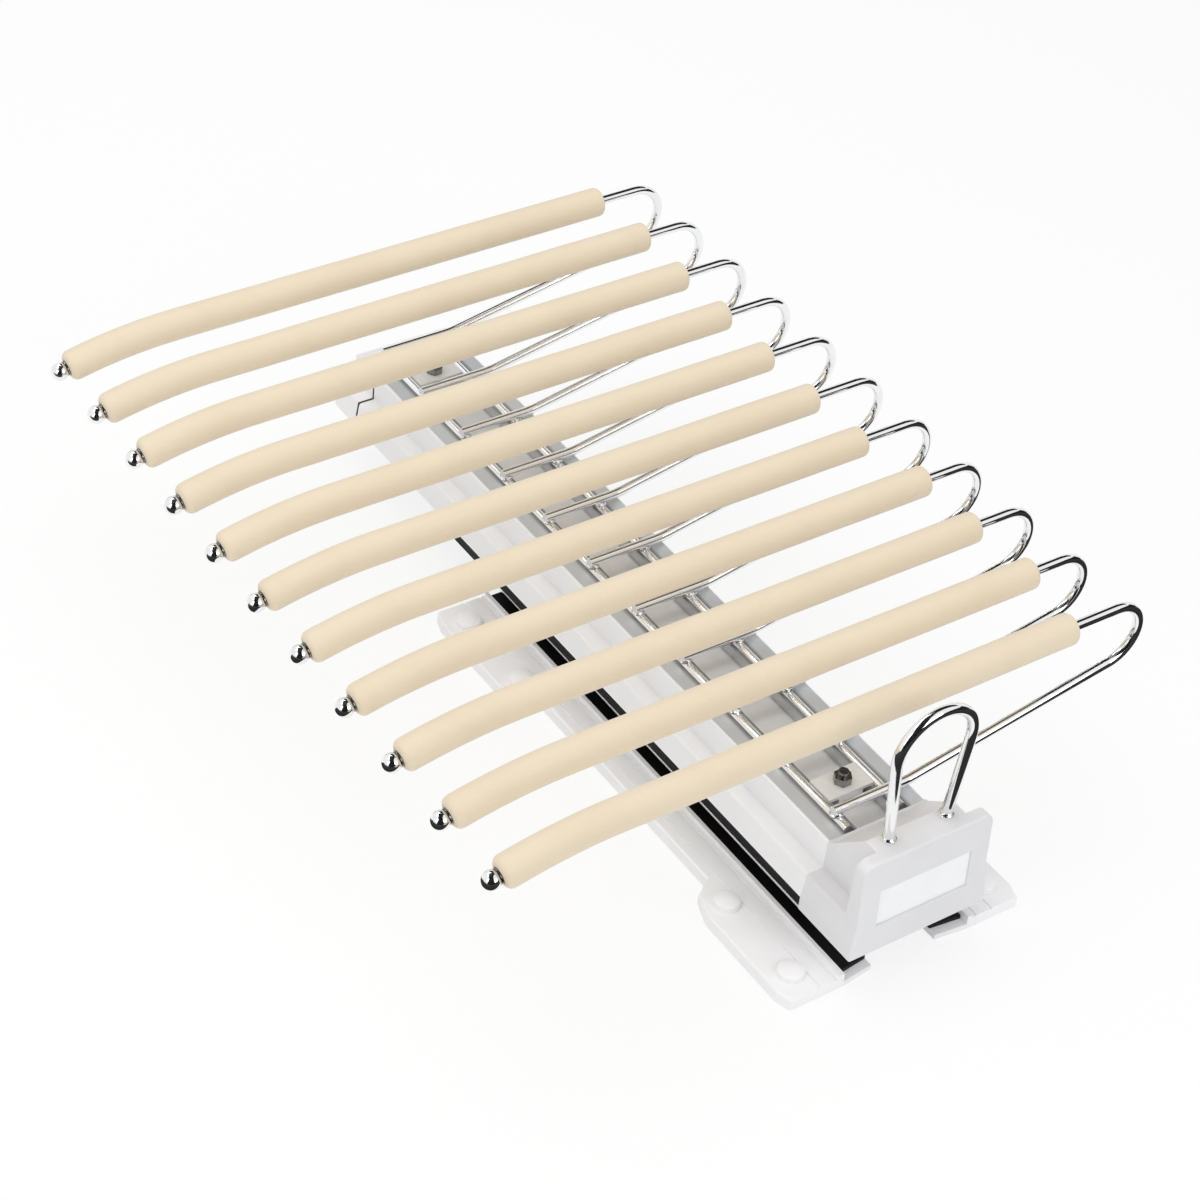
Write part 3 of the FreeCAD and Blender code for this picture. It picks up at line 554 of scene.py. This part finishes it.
def screwButton(name, x, y):
    radius, crown = screwCover["radius"], screwCover["crown"]
    dome = (radius ** 2 + crown ** 2) / 2 / crown  # radius of the crowned top
    bm = bmesh.new()
    foot = bm.verts.new((radius, 0, 0))
    raised = bmesh.ops.extrude_vert_indiv(bm, verts=[foot])["verts"]
    bmesh.ops.translate(bm, vec=(0, 0, screwCover["wall"]), verts=raised)
    bmesh.ops.spin(bm, geom=raised, cent=(0, 0, screwCover["wall"] + crown - dome), axis=(0, -1, 0),
                   angle=math.asin(radius / dome), steps=screwCover["steps"])
    bmesh.ops.spin(bm, geom=bm.verts[:] + bm.edges[:], cent=(0, 0, 0), axis=(0, 0, 1),
                   angle=math.tau, steps=screwCover["sides"], use_merge=True)
    bmesh.ops.remove_doubles(bm, verts=bm.verts, dist=screwCover["merge"])
    bmesh.ops.holes_fill(bm, edges=[edge for edge in bm.edges if edge.is_boundary], sides=0)
    near = screwCover["near"]
    rim = [edge for edge in bm.edges if all(abs(v.co.xy.length - radius) < near and v.co.z > near
                                            for v in edge.verts)]
    roundEdges(bm, rim, screwCover["rim"], screwCover["rimSteps"])
    bmesh.ops.translate(bm, vec=(x, y, screwCover["seat"]), verts=bm.verts)
    finishPiece(bm, name, lightenedBasePlastic, "base")


for row, y in enumerate(screwCover["rows"]):
    screwButton(f"screwCoverLeft{row + 1}", -screwCover["x"], y)
    screwButton(f"screwCoverRight{row + 1}", screwCover["x"], y)
print("screw covers:", 2 * len(screwCover["rows"]))

weld = {  # arm on rod
    "rods": (-15.5, 15.5), "height": 60.5, "size": (3.3, 3.3, 1.7), "subdivisions": 3,
    "unevenness": 0.22, "lumps": 1.7,
}


def weldBeads():
    bm = bmesh.new()
    for index in range(len(sleeve["rightEnds"])):
        y = middleOf(f"arm_wire_{index + 1:02d}").y
        for x in weld["rods"]:
            ball = bmesh.ops.create_icosphere(bm, subdivisions=weld["subdivisions"], radius=1.0)
            bead = ball["verts"]
            for v in bead:
                spot = v.co * weld["lumps"] + Vector((x, y, 0))
                v.co *= 1 + weld["unevenness"] * noise.noise(spot)
            bmesh.ops.scale(bm, vec=weld["size"], verts=bead)
            bmesh.ops.translate(bm, vec=(x, y, weld["height"]), verts=bead)
    finishPiece(bm, "weldBeads", chromeWire, "carriage")


weldBeads()
print("weld beads set")

bareLip = {  # bright edge of the fixed rail's lower lip, seen in the gap beside the carriage
    "x": 33.7, "thickness": 0.3, "front": -148.8, "back": 151.8, "bottom": 12.8, "top": 14.5,
    "edge": 0.08, "edgeSteps": 2,
}


def lipStrip(name, side):
    size = (bareLip["thickness"], bareLip["back"] - bareLip["front"],
            bareLip["top"] - bareLip["bottom"])
    middle = (side * bareLip["x"], (bareLip["back"] + bareLip["front"]) / 2,
              (bareLip["top"] + bareLip["bottom"]) / 2)
    bm = bmesh.new()
    bmesh.ops.create_cube(bm, size=1.0)
    bmesh.ops.scale(bm, vec=size, verts=bm.verts)
    roundEdges(bm, bm.edges[:], bareLip["edge"], bareLip["edgeSteps"])
    bmesh.ops.translate(bm, vec=middle, verts=bm.verts)
    finishPiece(bm, name, chromeWire, "base")


lipStrip("bareLipLeft", -1)
lipStrip("bareLipRight", 1)
print("bare rail lips set")

floorLook = {"size": 24.0, "drop": 0.0002, "colour": (0.93, 0.93, 0.93), "whiteShare": 0.8}


def studioFloor():
    material = bpy.data.materials.new("studioFloor")
    material.use_nodes = True
    tree = material.node_tree
    link = tree.links.new
    tree.nodes.clear()
    out = addNode(tree, "ShaderNodeOutputMaterial")
    path = addNode(tree, "ShaderNodeLightPath")
    matt = addNode(tree, "ShaderNodeBsdfDiffuse", {"Color": (*floorLook["colour"], 1)})
    white = addNode(tree, "ShaderNodeEmission", {"Color": (1, 1, 1, 1), "Strength": 1.0})
    seen = addNode(tree, "ShaderNodeMath", operation="MAXIMUM")
    through = addNode(tree, "ShaderNodeMath", operation="MAXIMUM")
    share = addNode(tree, "ShaderNodeMath", {1: floorLook["whiteShare"]}, operation="MULTIPLY")
    mix = addNode(tree, "ShaderNodeMixShader")
    link(path.outputs["Is Camera Ray"], seen.inputs[0])
    link(path.outputs["Is Glossy Ray"], seen.inputs[1])
    link(seen.outputs["Value"], through.inputs[0])
    link(path.outputs["Is Transmission Ray"], through.inputs[1])
    link(through.outputs["Value"], share.inputs[0])
    link(share.outputs["Value"], mix.inputs["Fac"])
    link(matt.outputs["BSDF"], mix.inputs[1])
    link(white.outputs["Emission"], mix.inputs[2])
    link(mix.outputs["Shader"], out.inputs["Surface"])
    bm = bmesh.new()
    bmesh.ops.create_grid(bm, x_segments=1, y_segments=1, size=floorLook["size"] / 2)
    bmesh.ops.translate(bm, vec=(0, 0, -floorLook["drop"]), verts=bm.verts)
    floor = meshObject(bm, "studioFloor", material)


studioFloor()

darkCards = {  # only shiny metal sees them: clockwise angles from the back, then foot and head
    "backRight": (10.0, 95.0, (1.6, 0.88), (0.35, 2.05)),
    "behindCamera": (188.0, 250.0, (1.9, 0.0), (0.35, 2.05)),
    "frontRight": (95.0, 188.0, (1.9, 0.0), (1.9, 0.75)),
    "floorFront": (100.0, 300.0, (1.9, 0.002), (0.24, 0.002)),
}
cardSteps = 36


def hangFlag(bm, name, material):
    card = meshObject(bm, name, material)
    card.visible_camera = False
    card.visible_diffuse = False
    card.visible_shadow = False
    card.visible_transmission = False


def darkCard(name, start, end, foot, head, material):
    bm = bmesh.new()
    for reach, height in (foot, head):
        bm.verts.new((0, reach, height))
    bm.edges.new(bm.verts)
    turned = Matrix.Rotation(math.radians(-start), 3, "Z")
    bmesh.ops.rotate(bm, cent=(0, 0, 0), matrix=turned, verts=bm.verts)
    bmesh.ops.spin(bm, geom=bm.verts[:] + bm.edges[:], cent=(0, 0, 0), axis=(0, 0, -1),
                   angle=math.radians(end - start), steps=cardSteps)
    hangFlag(bm, name, material)


flagCloth = newMaterial("flagCloth", Base_Color=(0.01, 0.01, 0.01, 1), Roughness=1.0)[0]
for name, place in darkCards.items():
    darkCard(name + "Card", *place, flagCloth)

overhead = {  # strip over the ball tips
    "middle": (-0.30, -0.024, 1.3), "half": (0.5, 0.8), "turn": 38.0,
}


def overheadFlag(material):
    bm = bmesh.new()
    bmesh.ops.create_grid(bm, x_segments=1, y_segments=1, size=1.0)
    bmesh.ops.scale(bm, vec=(*overhead["half"], 1), verts=bm.verts)
    turned = Matrix.Rotation(math.radians(-overhead["turn"]), 3, "Z")
    bmesh.ops.rotate(bm, cent=(0, 0, 0), matrix=turned, verts=bm.verts)
    bmesh.ops.translate(bm, vec=overhead["middle"], verts=bm.verts)
    hangFlag(bm, "overheadCard", material)


overheadFlag(flagCloth)

lampAim = (-0.02, 0.1, 0.05)
lamps = {  # place, size in metres, watts
    "topBox": ((-0.25, 0.45, 1.5), 1.3, 10.6),
    "sideBox": ((-1.5, -0.5, 0.9), 0.9, 4.4),
    "frontBox": ((0.3, -1.45, 0.95), 0.9, 6.6),
}
for name, (place, size, watts) in lamps.items():
    light = bpy.data.lights.new(name, "AREA")
    light.shape = "SQUARE"
    light.size = size
    light.energy = watts
    lamp = bpy.data.objects.new(name, light)
    lamp.location = place
    lamp.rotation_euler = (Vector(lampAim) - Vector(place)).to_track_quat("-Z", "Y").to_euler()
    bpy.context.scene.collection.objects.link(lamp)

studioWorld = {"ambient": 0.57, "white": 1.0, "mirrored": 0.94}  # mirrored is what shiny metal sees


def makeWorld():
    world = bpy.data.worlds.new("studioWorld")
    bpy.context.scene.world = world
    world.use_nodes = True
    tree = world.node_tree
    link = tree.links.new
    tree.nodes.clear()
    out = addNode(tree, "ShaderNodeOutputWorld")
    path = addNode(tree, "ShaderNodeLightPath")
    through = addNode(tree, "ShaderNodeMath", operation="MAXIMUM")
    ambient = studioWorld["ambient"]
    gleam = addNode(tree, "ShaderNodeMath", {1: studioWorld["mirrored"] - ambient, 2: ambient},
                    operation="MULTIPLY_ADD")
    strength = addNode(tree, "ShaderNodeMath", {1: studioWorld["white"] - ambient},
                       operation="MULTIPLY_ADD")
    sky = addNode(tree, "ShaderNodeBackground", {"Color": (1, 1, 1, 1)})
    link(path.outputs["Is Camera Ray"], through.inputs[0])
    link(path.outputs["Is Transmission Ray"], through.inputs[1])
    link(path.outputs["Is Glossy Ray"], gleam.inputs[0])
    link(through.outputs["Value"], strength.inputs[0])
    link(gleam.outputs["Value"], strength.inputs[2])
    link(strength.outputs["Value"], sky.inputs["Strength"])
    link(sky.outputs["Background"], out.inputs["Surface"])


makeWorld()

cameraLook = {  # matched to the photograph's perspective
    "eye": (-0.70573, -0.79005, 0.98), "azimuth": -38.05, "elevation": 40.28, "roll": 6.4935,
    "lens": 87.54, "sensor": 36.0, "shift": (0.0082, 0.0108), "clip": (0.05, 20.0),
}
lens = bpy.data.cameras.new("photoCamera")
lens.sensor_width = cameraLook["sensor"]
lens.lens = cameraLook["lens"]
lens.shift_x, lens.shift_y = cameraLook["shift"]
lens.clip_start, lens.clip_end = cameraLook["clip"]
camera = bpy.data.objects.new("photoCamera", lens)
turn = (Matrix.Rotation(math.radians(cameraLook["azimuth"]), 4, "Z")
        @ Matrix.Rotation(math.radians(90 - cameraLook["elevation"]), 4, "X")
        @ Matrix.Rotation(math.radians(cameraLook["roll"]), 4, "Z"))
camera.matrix_world = Matrix.Translation(cameraLook["eye"]) @ turn
bpy.context.scene.collection.objects.link(camera)
bpy.context.scene.camera = camera
bpy.context.scene.view_settings.view_transform = "Standard"
print("stage, lamps and camera set")
